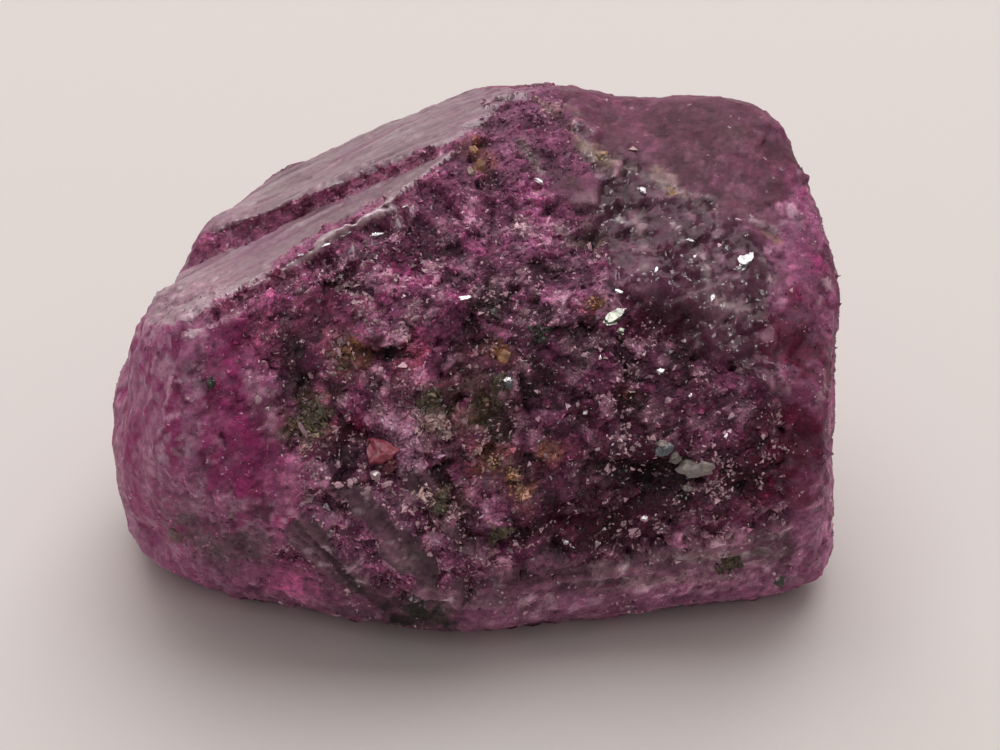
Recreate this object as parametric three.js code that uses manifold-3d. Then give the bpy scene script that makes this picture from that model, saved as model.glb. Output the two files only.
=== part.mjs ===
// A raw ruby crystal, 22 mm long: one stubby, worn corundum crystal, broken across its front.
//
// The stone is star-shaped about its centre, so it is made as a fine ball whose points are moved in or out along
// their own directions. Crystal faces and breaks set the overall form, soft dents and swells shape it further,
// and straight cuts leave the growth terraces and the flat underside that the stone rests on.
//
// Units are millimetres, +Z is up, +X runs along the stone and the big granular break faces -Y.

import * as THREE from 'three';
import { mergeVertices } from 'three/addons/utils/BufferGeometryUtils.js';
import Module from 'manifold-3d';

// ---- Driving dimensions ------------------------------------------------------------------------------------

const CENTRE_HEIGHT = 6.3; // from the underside up to the stone's centre
const BALL_DETAIL = 17; // the ball has 20 * (detail + 1)^2 triangles
const EDGE_CRISPNESS = 22; // higher numbers give sharper edges between faces
const CUT_SIZE = 30; // side of the blocks that make the straight cuts, larger than the stone

// Each face: the compass turn and the tilt of the way it looks, in degrees, and how far out it lies.
const FACES = [
  { name: 'front break', turn: -87, tilt: 33, out: 5.4 },
  { name: 'glassy upper front', turn: -58, tilt: 69, out: 5.7 },
  { name: 'striated top left', turn: 144, tilt: 60, out: 6.9 },
  { name: 'left end', turn: -150, tilt: 23, out: 10.2 },
  { name: 'left top', turn: 160, tilt: 28, out: 9.0 },
  { name: 'left side', turn: -172, tilt: -4, out: 11.4 },
  { name: 'left foot', turn: -123, tilt: -16, out: 9.7 },
  { name: 'lower front, left', turn: -104, tilt: -13, out: 7.5 },
  { name: 'lower front, right', turn: -80, tilt: -12, out: 7.2 },
  { name: 'right foot', turn: -28, tilt: -20, out: 13.1 },
  { name: 'right side', turn: -7, tilt: 5, out: 10.9 },
  { name: 'right top', turn: 13, tilt: 28, out: 11.7 },
  { name: 'top back', turn: 78, tilt: 53, out: 8.9 },
  { name: 'back', turn: 89, tilt: -10, out: 6.2 },
  { name: 'back left', turn: 135, tilt: -11, out: 9.4 },
  { name: 'back right', turn: 44, tilt: -17, out: 8.8 },
  { name: 'underside', turn: 0, tilt: -90, out: 6.8 },
];

// Each swell: a point near the surface, measured from the centre, how far its effect reaches, and how much it
// raises the surface there. A negative rise is a dent.
const SWELLS = [
  { name: 'hollow of the front break', at: [2.5, -5.8, 0.6], reach: 4.2, rise: -0.45 },
  { name: 'recess under the glassy brow', at: [5.4, -3.6, 3.6], reach: 1.7, rise: -0.55 },
  { name: 'glassy brow', at: [6.9, -1.4, 5.0], reach: 1.8, rise: 0.35 },
  { name: 'saddle in the crest', at: [4.6, 4.2, 6.7], reach: 1.5, rise: -0.4 },
  { name: 'hump behind the saddle', at: [7.8, 4.4, 5.9], reach: 1.7, rise: 0.65 },
  { name: 'nick in the left side, high', at: [-10.4, -2.4, 0.6], reach: 0.9, rise: -0.35 },
  { name: 'nick in the left side, low', at: [-9.6, -4.0, -3.4], reach: 1.0, rise: -0.4 },
  { name: 'step in the right side', at: [10.4, -2.6, 0.2], reach: 1.0, rise: -0.25 },
  { name: 'corner of the back terrace', at: [-8.0, 3.0, 2.8], reach: 1.3, rise: 0.45 },
  { name: 'shoulder of the left end', at: [-9.6, -0.6, 3.4], reach: 1.8, rise: 0.3 },
  { name: 'corner of the right side', at: [10.7, 0.0, 2.4], reach: 1.8, rise: 0.25 },
  { name: 'dent in the back', at: [-2.5, 6.2, -1.0], reach: 2.6, rise: -0.4 },
];

// Each growth terrace: the two ends of the foot of its riser, measured from the centre. The stone is cut down to
// the foot on the front side of the riser, and stays full height behind it.
const TERRACES = [
  { name: 'back riser', start: [-7.7, 1.9, 2.9], end: [-1.2, 2.1, 6.3] },
  { name: 'front riser', start: [-6.8, -2.7, 4.5], end: [-1.6, 0.1, 6.25] },
];

// The treads of the terraces lie parallel to this face.
const TERRACE_FACE = FACES.find((face) => face.name === 'striated top left');

const STONE_MATERIAL = new THREE.MeshStandardMaterial({ color: 0x5a3742, roughness: 0.35, metalness: 0.0 });

// ---- The stone's form --------------------------------------------------------------------------------------

function facing(turn, tilt) {
  const a = THREE.MathUtils.degToRad(turn);
  const e = THREE.MathUtils.degToRad(tilt);
  return new THREE.Vector3(Math.cos(a) * Math.cos(e), Math.sin(a) * Math.cos(e), Math.sin(e));
}

const planes = FACES.map((face) => ({ normal: facing(face.turn, face.tilt), out: face.out }));
const swells = SWELLS.map((swell) => ({ ...swell, at: new THREE.Vector3(...swell.at) }));

// Distance from the centre to the surface along a direction. A point is inside every face at once, and the sum
// of high powers rounds the edges where two faces meet.
function radiusTowards(direction) {
  let sum = 0;
  for (const plane of planes) {
    const lean = Math.max(0, direction.dot(plane.normal) / plane.out);
    sum += lean ** EDGE_CRISPNESS;
  }
  let radius = sum ** (-1 / EDGE_CRISPNESS);
  for (const swell of swells) {
    const away = direction.clone().multiplyScalar(radius).distanceTo(swell.at);
    radius += swell.rise * Math.exp(-((away / swell.reach) ** 2));
  }
  return radius;
}

function ballShapedByFaces() {
  const ball = new THREE.IcosahedronGeometry(1, BALL_DETAIL);
  ball.deleteAttribute('normal');
  ball.deleteAttribute('uv');
  const geometry = mergeVertices(ball);
  const points = geometry.attributes.position;
  const point = new THREE.Vector3();
  for (let i = 0; i < points.count; i += 1) {
    point.fromBufferAttribute(points, i).normalize();
    point.multiplyScalar(radiusTowards(point));
    points.setXYZ(i, point.x, point.y, point.z);
  }
  return geometry;
}

// ---- Cuts --------------------------------------------------------------------------------------------------

// A block whose near edge runs from start to end. It takes away all that lies above that edge's terrace and in
// front of its riser.
function terraceBlock({ start, end }) {
  const from = new THREE.Vector3(...start);
  const along = new THREE.Vector3(...end).sub(from).normalize();
  const faceNormal = facing(TERRACE_FACE.turn, TERRACE_FACE.tilt);
  const forward = new THREE.Vector3().crossVectors(along, faceNormal).normalize();
  const up = new THREE.Vector3().crossVectors(forward, along);
  const block = new THREE.BoxGeometry(CUT_SIZE, CUT_SIZE, CUT_SIZE);
  block.translate(CUT_SIZE / 2, 0, CUT_SIZE / 2);
  block.applyMatrix4(new THREE.Matrix4().makeBasis(forward, along, up).setPosition(from));
  return block;
}

function undersideBlock() {
  const block = new THREE.BoxGeometry(CUT_SIZE, CUT_SIZE, CUT_SIZE);
  block.translate(0, 0, -CENTRE_HEIGHT - CUT_SIZE / 2);
  return block;
}

// ---- Closed meshes in and out of the boolean library -------------------------------------------------------

const wasm = await Module();
wasm.setup();

function toSolid(geometry) {
  const bare = geometry.clone();
  bare.deleteAttribute('normal');
  bare.deleteAttribute('uv');
  const closed = mergeVertices(bare);
  const vertProperties = new Float32Array(closed.attributes.position.array);
  const triVerts = new Uint32Array(closed.index.array);
  return new wasm.Manifold(new wasm.Mesh({ numProp: 3, vertProperties, triVerts }));
}

function toGeometry(solid) {
  const { vertProperties, triVerts } = solid.getMesh();
  const geometry = new THREE.BufferGeometry();
  geometry.setAttribute('position', new THREE.BufferAttribute(vertProperties, 3));
  geometry.setIndex(new THREE.BufferAttribute(triVerts, 1));
  geometry.computeVertexNormals();
  return geometry;
}

// ---- Assembly ----------------------------------------------------------------------------------------------

let stone = toSolid(ballShapedByFaces());
for (const terrace of TERRACES) {
  stone = stone.subtract(toSolid(terraceBlock(terrace)));
}
stone = stone.subtract(toSolid(undersideBlock()));

// The origin is the middle of the bounding box, on the underside.
const geometry = toGeometry(stone);
geometry.computeBoundingBox();
const box = geometry.boundingBox;
geometry.translate(-(box.min.x + box.max.x) / 2, -(box.min.y + box.max.y) / 2, -box.min.z);

const crystal = new THREE.Mesh(geometry, STONE_MATERIAL);
crystal.name = 'ruby_crystal';

const group = new THREE.Group();
group.add(crystal);

export default group;
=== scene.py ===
import math

import bmesh
import bpy
import numpy as np
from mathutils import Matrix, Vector, noise


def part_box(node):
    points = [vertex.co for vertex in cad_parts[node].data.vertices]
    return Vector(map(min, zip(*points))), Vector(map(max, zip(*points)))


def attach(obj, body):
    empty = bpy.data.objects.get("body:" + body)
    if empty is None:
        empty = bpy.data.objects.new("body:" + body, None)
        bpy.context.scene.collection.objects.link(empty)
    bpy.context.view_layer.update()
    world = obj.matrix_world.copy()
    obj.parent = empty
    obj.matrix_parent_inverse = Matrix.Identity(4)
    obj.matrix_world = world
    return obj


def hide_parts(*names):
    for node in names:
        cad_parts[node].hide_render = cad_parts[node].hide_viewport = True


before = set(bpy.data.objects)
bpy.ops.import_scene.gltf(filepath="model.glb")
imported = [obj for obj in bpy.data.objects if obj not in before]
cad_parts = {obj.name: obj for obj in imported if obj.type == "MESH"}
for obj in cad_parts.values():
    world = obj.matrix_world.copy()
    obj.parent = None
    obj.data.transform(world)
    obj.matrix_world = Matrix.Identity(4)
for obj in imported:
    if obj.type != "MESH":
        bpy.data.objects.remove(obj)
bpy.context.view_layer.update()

MM = 0.001

# ------------------------------------------------------------------------------
# The studio. The stone lies on a sheet of pale warm-grey card and is looked down on from the front. A wide
# soft window stands behind it, the bright air of the room fills the shadows, and two small lamps make the
# grains glitter.
# ------------------------------------------------------------------------------
stone_low, stone_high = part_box("ruby_crystal")
stone_centre = (stone_low + stone_high) / 2

VIEW_ELEVATION = math.radians(40)
VIEW_DISTANCE = 86 * MM
VIEW_AIM = stone_centre + Vector((0.8, 0.0, -0.86)) * MM
towards_viewer = Vector((0, -math.cos(VIEW_ELEVATION), math.sin(VIEW_ELEVATION)))

camera_data = bpy.data.cameras.new("camera")
camera_data.lens = 100
camera_data.sensor_width = 36
camera_data.clip_start = 1 * MM
camera = bpy.data.objects.new("camera", camera_data)
camera.location = VIEW_AIM + towards_viewer * VIEW_DISTANCE
camera.rotation_euler = towards_viewer.to_track_quat("Z", "Y").to_euler()
bpy.context.scene.collection.objects.link(camera)
bpy.context.scene.camera = camera

scene = bpy.context.scene
scene.view_settings.view_transform = "Standard"


def soft_panel(name, place, size, watts, colour):
    """A square soft light at place (metres from the stone's centre) that shines at the stone."""
    data = bpy.data.lights.new(name, "AREA")
    data.size = size
    data.energy = watts
    data.color = colour
    panel = bpy.data.objects.new(name, data)
    panel.location = stone_centre + Vector(place)
    panel.rotation_euler = Vector(place).to_track_quat("Z", "Y").to_euler()
    scene.collection.objects.link(panel)
    return panel


soft_panel("window", (0.02, 0.22, 0.40), 0.50, 1.75, (1.0, 0.975, 0.96))
for lamp_name, lamp_place in (("left_glint", (-0.22, -0.14, 0.30)), ("right_glint", (0.20, -0.05, 0.34))):
    glint_lamp = soft_panel(lamp_name, lamp_place, 0.02, 0.55, (1.0, 0.98, 0.96))
    glint_lamp.visible_diffuse = False


def feed(node, **values):
    """Fills the inputs of those names, spaces for underscores: a socket is linked, and a value is set."""
    for name, value in values.items():
        way_in = node.inputs[name.replace("_", " ")]
        if isinstance(value, bpy.types.NodeSocket):
            node.id_data.links.new(value, way_in)
        else:
            way_in.default_value = value


def add_node(tree, kind, *sources, operation=None, data_type=None, **values):
    """A new shader node, with sources linked to its first inputs in order and values fed in by name."""
    node = tree.nodes.new("ShaderNode" + kind)
    if operation:
        node.operation = operation
    if data_type:
        node.data_type = data_type
    for number, source in enumerate(sources):
        tree.links.new(source, node.inputs[number])
    feed(node, **values)
    return node


def new_material(name):
    material = bpy.data.materials.new(name)
    material.use_nodes = True
    return material, material.node_tree.nodes["Principled BSDF"]


world = bpy.data.worlds.new("studio_air")
scene.world = world
world.use_nodes = True
air = world.node_tree
sky_way = add_node(air, "TexCoord").outputs["Generated"]
height = add_node(air, "VectorMath", sky_way, operation="DOT_PRODUCT")
height.inputs[1].default_value = (0, 0.6, 0.8)
fade = add_node(air, "MapRange", height.outputs["Value"], From_Min=-0.2, From_Max=0.9,
                To_Min=0.20, To_Max=0.62)
feed(air.nodes["Background"], Strength=fade.outputs["Result"], Color=(0.92, 0.87, 0.84, 1))

card_mesh = bpy.data.meshes.new("card")
card_form = bmesh.new()
bmesh.ops.create_grid(card_form, x_segments=1, y_segments=1, size=2.0)
card_form.to_mesh(card_mesh)
card_form.free()
card = bpy.data.objects.new("card", card_mesh)
scene.collection.objects.link(card)

card_paper, card_shader = new_material("card_paper")
feed(card_shader, Base_Color=(0.76, 0.715, 0.70, 1), Roughness=0.8, Specular_IOR_Level=0.1)
card_mesh.materials.append(card_paper)

# ------------------------------------------------------------------------------
# The stone: one stubby crystal of ruby corundum, snapped across its front. Its growth faces are glassy and
# striated, the break is a crust of tiny grains, and the right edge is thin enough to glow red.
# The fine surface starts from the solid of the frame, remeshed evenly, and every point is then moved along
# its own normal: first whole regions, then the relief that belongs to each kind of surface.
# ------------------------------------------------------------------------------
SURFACE_STEP = 0.12 * MM

stone_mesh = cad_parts["ruby_crystal"].data.copy()
stone_mesh.materials.clear()
stone_form = bmesh.new()
stone_form.from_mesh(stone_mesh)
bmesh.ops.remove_doubles(stone_form, verts=stone_form.verts, dist=0.001 * MM)
stone_form.to_mesh(stone_mesh)
stone_form.free()
stone = bpy.data.objects.new("ruby_stone", stone_mesh)
scene.collection.objects.link(stone)
remesh = stone.modifiers.new("even_surface", "REMESH")
remesh.mode = "VOXEL"
remesh.voxel_size = SURFACE_STEP
even_mesh = bpy.data.meshes.new_from_object(stone.evaluated_get(bpy.context.evaluated_depsgraph_get()))
stone.modifiers.clear()
stone.data = even_mesh
stone.data.name = "ruby_stone"


def read_points(mesh):
    """Point places in millimetres and unit normals, as two arrays."""
    places = np.empty(len(mesh.vertices) * 3)
    mesh.vertices.foreach_get("co", places)
    normals = np.empty(len(mesh.vertices) * 3)
    mesh.vertex_normals.foreach_get("vector", normals)
    return places.reshape(-1, 3) / MM, normals.reshape(-1, 3)


def write_points(mesh, places):
    mesh.vertices.foreach_set("co", (places * MM).ravel())
    mesh.update()


def ramp(value, start, end):
    """0 before start, 1 after end, and smooth between them."""
    t = np.clip((value - start) / (end - start), 0, 1)
    return t * t * (3 - 2 * t)


def facing(turn, tilt):
    a, e = math.radians(turn), math.radians(tilt)
    return np.array([math.cos(a) * math.cos(e), math.sin(a) * math.cos(e), math.sin(e)])


def clouds(places, size, seed, stretch=(1, 1, 1), octaves=3):
    """Soft noise between about -1 and 1, whose lumps are size millimetres across."""
    shift = Vector((seed * 7.3, seed * 3.1, seed * 11.7))
    scaled = places / (size * np.array(stretch))
    return np.array([noise.fractal(Vector(p) + shift, 1.0, 2.0, octaves) for p in scaled])


# Three far-apart places in the noise, one for each part of a chip's lean. noise.noise gives the same value
# in every run, which noise.noise_vector does not.
LEANS_APART = (Vector((0, 0, 0)), Vector((31.3, 17.9, 5.1)), Vector((7.7, 43.1, 23.9)))


def chips(places, size, seed, stretch=(1, 1, 1)):
    """Flat chips about size millimetres across, each tilted its own way: a broken, angular relief. Gives for
    each place its height, the shade of its chip between about -1 and 1, and the middle of its chip."""
    shift = Vector((seed * 5.9, seed * 9.7, seed * 2.3))
    heights = np.empty(len(places))
    shades = np.empty(len(places))
    middles = np.empty((len(places), 3))
    for i, p in enumerate(places / (size * np.array(stretch))):
        point = Vector(p) + shift
        centre = noise.voronoi(point)[1][0]
        lean = Vector([noise.noise(centre * 13.7 + apart) for apart in LEANS_APART])
        middles[i] = centre - shift
        shades[i] = noise.noise(centre * 17.3) * 1.8
        heights[i] = (point - centre).dot(lean) * 1.6 + noise.noise(centre * 9.1) * 0.5
    return heights, shades, middles * size * np.array(stretch)


def spot(points, place, reach):
    """1 at a place, fading to nothing over about twice its reach."""
    return np.exp(-(np.linalg.norm(points - np.array(place), axis=1) / reach) ** 2)


def beside(points, start, end):
    """How far along a line each point lies, from 0 to 1, and its distance from the line."""
    run = end - start
    share = np.clip((points - start) @ run / (run @ run), 0, 1)
    return share, np.linalg.norm(points - start - share[:, None] * run, axis=1)


def within(plan, outline):
    """Signed distance in millimetres of plan points (n, 2) to a closed outline, positive inside."""
    distance = np.full(len(plan), 1e9)
    crossings = np.zeros(len(plan), int)
    for start, end in zip(outline, outline[1:] + outline[:1]):
        start, end = np.array(start, float), np.array(end, float)
        edge = end - start
        distance = np.minimum(distance, beside(plan, start, end)[1])
        spans = (start[1] > plan[:, 1]) != (end[1] > plan[:, 1])
        height = plan[:, 1] - start[1]
        slope = edge[0] / edge[1] if edge[1] else 0.0
        crossings += spans & (plan[:, 0] < start[0] + height * slope)
    return np.where(crossings % 2 == 1, distance, -distance)


# The regions of the front, drawn in millimetres on a plane square to the viewer: x along the stone, and up
# the slope. Their edges are then made ragged.
BREAK = [(-6.9, 6.6), (-5.3, 7.4), (-3.7, 8.3), (-2.1, 9.3), (-1.0, 10.2), (0.9, 9.9), (2.4, 10.1),
         (3.7, 8.5), (4.0, 7.0), (5.2, 6.6), (6.8, 5.3), (8.5, 4.1), (9.2, 3.1), (9.4, 0.1), (6.7, -0.7),
         (5.0, -1.1), (2.6, -1.2), (0.5, -1.6), (-0.2, -0.6), (-0.9, 0.8), (-1.4, 1.8), (-1.7, 1.9),
         (-3.3, 1.4), (-5.0, 0.6), (-4.9, 1.5), (-5.1, 2.7), (-5.5, 3.3), (-5.6, 4.2), (-6.2, 5.1)]
CAP = [(-1.0, 10.2), (-0.5, 11.1), (0.5, 12.9), (2.0, 13.4), (2.6, 12.9), (3.5, 10.5), (2.4, 10.1),
       (0.9, 9.9)]
GLASS = [(2.6, 13.4), (5.7, 13.4), (8.8, 13.2), (10.0, 10.3), (8.9, 8.4), (8.8, 6.6), (9.2, 3.7),
         (8.5, 4.1), (6.8, 5.3), (5.2, 6.6), (4.0, 7.0), (3.7, 8.5), (3.5, 10.5)]
HUMP = [(2.2, 13.6), (5.7, 13.6), (8.8, 13.4), (10.4, 10.3), (9.0, 8.5), (8.0, 9.1), (6.4, 10.0),
        (4.7, 10.9), (3.5, 11.9)]
RIM = [(8.9, 8.4), (9.8, 10.6), (11.4, 10.5), (12.0, 8.3), (12.0, -1.3), (10.1, -3.5), (9.4, 0.1),
       (9.2, 3.1), (8.8, 6.6)]
LEFT_END = [(-12.5, 3.0), (-11.0, 7.5), (-6.9, 6.6), (-6.2, 5.1), (-5.6, 4.2), (-5.5, 3.3), (-5.1, 2.7),
            (-4.9, 1.5), (-5.1, 0.5), (-6.1, -1.1), (-7.5, -4.5), (-12.3, -3.9)]
PLANKS = [(-5.0, 0.6), (-3.3, 1.4), (-1.7, 1.9), (-1.4, 1.8), (-0.9, 0.8), (-0.2, -0.6), (0.5, -1.6),
          (-0.1, -2.7), (-2.2, -2.3), (-4.3, -2.1), (-5.8, -1.1)]
LOWER_BAND = [(-6.2, -1.1), (-4.3, -2.1), (-2.2, -2.3), (0.5, -1.6), (2.6, -1.2), (5.0, -1.1), (6.7, -0.7),
              (9.4, 0.1), (10.6, -4.5), (-8.0, -5.0)]

places, normals = read_points(stone.data)
viewer = np.array(towards_viewer)
up_slope = np.array([0, math.sin(VIEW_ELEVATION), math.cos(VIEW_ELEVATION)])
ragged = places + 0.34 * np.stack([clouds(places, 1.1, seed) for seed in (1, 2, 3)], 1)
plan = np.stack([ragged[:, 0], ragged @ up_slope], 1)
coarse = chips(places, 1.5, 1)[0]
middling, middling_shade, middling_middles = chips(places, 0.62, 2)
fine, fine_shade, fine_middles = chips(places, 0.33, 3)
in_chips = ragged + 0.45 * (middling_middles - places) + 0.55 * (fine_middles - places)
chip_plan = np.stack([in_chips[:, 0], in_chips @ up_slope], 1)
front = ramp(normals @ viewer, -0.05, 0.15)


def region(outline, softness=0.18):
    return ramp(within(chip_plan, outline), -softness, softness) * front


tread_way = facing(144, 60)
in_tread = ramp(normals @ tread_way + 0.03 * clouds(places, 0.9, 39), 0.93, 0.985)
in_break = region(BREAK)
in_tread *= 1 - in_break

# Low on the front riser a thin strip of an older growth face shows, as bright as a tread.
STRIP = np.array([[-6.45, 6.95], [-2.25, 9.55]])
flat_plan = np.stack([places[:, 0], places @ up_slope], 1)
on_plan = flat_plan + 0.25 * (plan - flat_plan)
strip_share, strip_away = beside(on_plan, STRIP[0], STRIP[1])
in_strip = ramp(-strip_away, -0.11 - 0.11 * strip_share, -0.05 - 0.08 * strip_share) * front
in_strip *= ramp(fine_shade + 2.0 * clouds(places, 0.5, 60), -0.7, -0.3)
strip_run = STRIP[1] - STRIP[0]
strip_up = np.array([-strip_run[1], strip_run[0]]) / np.linalg.norm(strip_run)
above_strip = (0.15 * plan + 0.85 * on_plan - STRIP[0]) @ strip_up
beside_strip = ramp(strip_share, 0.10, 0.25) * (1 - ramp(strip_share, 0.9, 1.0)) * front
above_riser = ramp(above_strip, 0.12, 0.20) * (1 - ramp(above_strip, 0.40 + 0.1 * fine, 0.52 + 0.1 * fine))
above_riser *= beside_strip
in_break *= 1 - in_strip
in_tread = np.maximum(in_tread * (1 - above_riser), in_strip)
in_cap = region(CAP)
in_hump = region(HUMP, 0.3)
in_glass = region(GLASS) * (1 - in_hump)
in_rim = region(RIM)
in_left = region(LEFT_END)
in_planks = region(PLANKS, 0.12)
in_lower = region(LOWER_BAND, 0.3)

# The growth terraces look up and to the back left. Their risers look forward and are rough.
riser_way = facing(-70, 25)
near_terraces = ramp(-places[:, 0], 0.8, 1.6) * ramp(places[:, 2], 8.2, 9.4) * ramp(places[:, 1], -3.6, -2.8)
in_riser = near_terraces * (1 - in_tread) * ramp(normals @ riser_way, 0.1, 0.5) * (1 - in_break)
in_riser = np.clip(in_riser + 0.8 * above_riser * (1 - in_break), 0, 1)

# What the viewer doesn't see: prism faces with growth steps, broken by patches as grainy as the front.
seen = in_break + in_cap + in_glass + in_hump + in_rim + in_left + in_planks + in_lower + in_tread
unseen = 1 - np.clip(seen, 0, 1)
in_back_break = ramp(clouds(places, 4.5, 8), 0.05, 0.25) * unseen * (1 - in_riser)
in_back_face = np.clip(unseen - in_back_break - in_riser, 0, 1)

grainy = np.clip(in_break + 0.75 * in_cap + in_riser + 0.9 * in_back_break, 0, 1)
pitted_left = in_left * ramp(places[:, 0], -9.6, -7.6)

# The relief, in millimetres, kind by kind.
lift = 0.10 * clouds(places, 4.0, 4)
crust = 0.28 * coarse + 0.18 * middling + 0.10 * fine
lift += grainy * (crust - 0.14)
lift += in_break * (0.22 * clouds(places, 1.8, 5) - 0.16)
lift += 0.10 * in_cap
lumps, lump_sheen_and_shade = chips(places, 1.3, 31, (1.4, 1, 1))[:2]
lift += in_glass * (0.26 * lumps + 0.10 * coarse + 0.15 * middling + 0.08 * fine)
lift += in_hump * (0.14 * coarse + 0.05 * middling + 0.02 * fine)
lift += in_rim * (0.13 * chips(places, 0.9, 7)[0] + 0.08 * middling + 0.06 * fine)
lift += in_left * (0.10 * clouds(places, 0.9, 9, (0.4, 0.4, 2.6)) + 0.03 * middling + 0.04 * fine + 0.06)
lift += pitted_left * (0.08 * middling + 0.06 * fine)
band_slabs, band_shade = chips(places, 0.42, 10, (7.0, 1, 0.6))[:2]
lift += in_lower * (0.14 * band_slabs + 0.08 * middling + 0.07 * fine)
back_steps = chips(places, 0.7, 53, (5, 5, 0.6))[0]
back_swell = clouds(places, 0.8, 11, (3.5, 3.5, 0.5))
lift += in_back_face * (0.08 * back_swell + 0.10 * back_steps + 0.04 * middling)

# Lower left, planks of smooth ruby stand proud of rough red channels, slanting down to the right.
PLANK_SLANT = math.radians(50)
PLANK_STEP = 1.85
PLANK_START = -3.95
across_planks = plan[:, 0] * math.sin(PLANK_SLANT) + plan[:, 1] * math.cos(PLANK_SLANT)
plank_turn = (across_planks - PLANK_START) / PLANK_STEP
plank_turn = plank_turn + 0.10 * clouds(places, 1.6, 12) + 0.05 * clouds(places, 0.5, 13)
plank_top = ramp(np.cos(plank_turn * 2 * math.pi), -0.15, 0.10)
along_lines = flat_plan[:, 0] * math.cos(PLANK_SLANT) - flat_plan[:, 1] * math.sin(PLANK_SLANT)
across_lines = flat_plan[:, 0] * math.sin(PLANK_SLANT) + flat_plan[:, 1] * math.cos(PLANK_SLANT)
on_planks = np.stack([along_lines / 9, across_lines, np.zeros(len(places))], 1)
splints, splint_shade = chips(on_planks, 0.26, 46)[:2]
grooves = ramp(np.cos(across_lines * 2 * math.pi / 0.37 + 2.0 * clouds(on_planks, 0.9, 54)), 0.55, 0.9)
lift += in_planks * plank_top * (0.16 + 0.12 * splints - 0.07 * grooves + 0.02 * middling)
lift += in_planks * (1 - plank_top) * (0.20 * middling + 0.16 * fine - 0.18)

# The treads carry fine growth lines and steps, a few hundredths of a millimetre high, along the terraces.
tread_along = np.array([0.87, 0.24, 0.42])
tread_across = np.cross(tread_way, tread_along)
on_treads = np.stack([places @ tread_along / 7, places @ tread_across, places @ tread_way], 1)
growth_lines = clouds(on_treads, 0.45, 41)
growth_steps = chips(on_treads, 0.5, 42)[0]
lift += in_tread * (0.07 * growth_lines + 0.07 * growth_steps + 0.04 * middling)
lift += in_strip * (0.12 * fine - 0.07)

# Hollows and bosses that can be pointed out one by one: place, reach and height.
HOLLOWS = [
    ((6.2, -3.1, 9.9), 0.85, -0.55), ((5.1, -2.9, 10.1), 0.6, -0.45), ((-5.2, -5.0, 9.2), 0.55, -0.45),
    ((-2.9, -5.6, 8.2), 0.5, -0.35), ((0.5, -3.0, 11.1), 0.8, -0.35), ((4.6, -6.0, 5.6), 0.9, -0.45),
    ((2.9, -6.3, 5.1), 0.8, -0.45), ((5.4, -5.8, 6.6), 0.7, -0.40), ((9.7, -3.2, 9.3), 0.6, -0.30),
    ((9.4, -5.1, 7.6), 0.7, -0.35), ((7.9, -1.1, 10.6), 0.9, 0.30), ((3.9, -0.3, 11.6), 1.0, -0.25),
    ((4.6, 4.4, 12.9), 0.9, -0.30), ((-10.9, -1.7, 6.9), 0.6, -0.35), ((-10.0, -3.7, 2.2), 0.6, -0.40),
    ((10.9, -1.0, 7.5), 0.5, -0.20), ((10.9, -2.0, 4.6), 0.5, -0.25),
]
for place, reach, height in HOLLOWS:
    lift += height * spot(places, place, reach)

# The underside stays flat enough to rest on: nothing reaches below it, and it is only lightly pitted.
underside = ramp(-normals[:, 2], 0.8, 0.95) * ramp(-places[:, 2], -0.5, -0.2)
lift = lift * (1 - underside) - underside * 0.10 * np.abs(coarse + middling)
moved = places + normals * lift[:, None]
undercut = ramp(-moved[:, 2], -1.3, 0.0)[:, None] * np.array([0.05, 0.10, 0])
moved -= moved * undercut
low_mm, high_mm = np.array(stone_low) / MM, np.array(stone_high) / MM
moved = np.clip(moved, low_mm, high_mm)
write_points(stone.data, moved)
corner_points = np.empty(len(stone.data.loops), int)
stone.data.loops.foreach_get("vertex_index", corner_points)
first_corners = np.empty(len(stone.data.polygons), int)
stone.data.polygons.foreach_get("loop_start", first_corners)
face_points = corner_points[first_corners]
stone.data.polygons.foreach_set("use_smooth", grainy[face_points] < 0.5)

# The tints of ruby, painted point by point and blended by region. Values are linear light.
PLUM = np.array([0.180, 0.042, 0.098])
MAUVE = np.array([0.270, 0.100, 0.172])
DARK_PLUM = np.array([0.036, 0.003, 0.012])
LAVENDER = np.array([0.460, 0.250, 0.315])
FROST = np.array([0.540, 0.470, 0.450])
MAGENTA = np.array([0.250, 0.026, 0.110])
FUCHSIA = np.array([0.290, 0.070, 0.135])
CRIMSON = np.array([0.085, 0.004, 0.024])
SMOKE = np.array([0.034, 0.009, 0.017])
BROW_PLUM = np.array([0.066, 0.022, 0.036])
MAROON = np.array([0.112, 0.036, 0.056])
GREY_PLUM = np.array([0.140, 0.068, 0.092])
SLATE_PLUM = np.array([0.115, 0.073, 0.082])
PINK = np.array([0.460, 0.170, 0.260])
ASH = np.array([0.215, 0.160, 0.152])
SALMON = np.array([0.360, 0.075, 0.112])
PALE_PINK = np.array([0.560, 0.300, 0.390])
OLIVE = np.array([0.062, 0.040, 0.022])
GREEN_BLACK = np.array([0.026, 0.026, 0.020])
RUST = np.array([0.210, 0.078, 0.032])
UMBER = np.array([0.120, 0.072, 0.046])
ROSE = np.array([0.440, 0.110, 0.230])
HONEY = np.array([0.380, 0.240, 0.140])
TAN = np.array([0.270, 0.200, 0.155])

tint = np.tile(PLUM, (len(places), 1))


def lay(colour, amount):
    """Lays a colour over the tints, fully where amount is 1."""
    tint[:] = tint + (colour - tint) * np.clip(amount, 0, 1)[:, None]


def patchy(size, seed, start, end, stretch=(1, 1, 1)):
    """Ragged patches about size millimetres across, 1 where they are and 0 between them."""
    return ramp(clouds(in_chips, size, seed, stretch), start, end)


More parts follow.
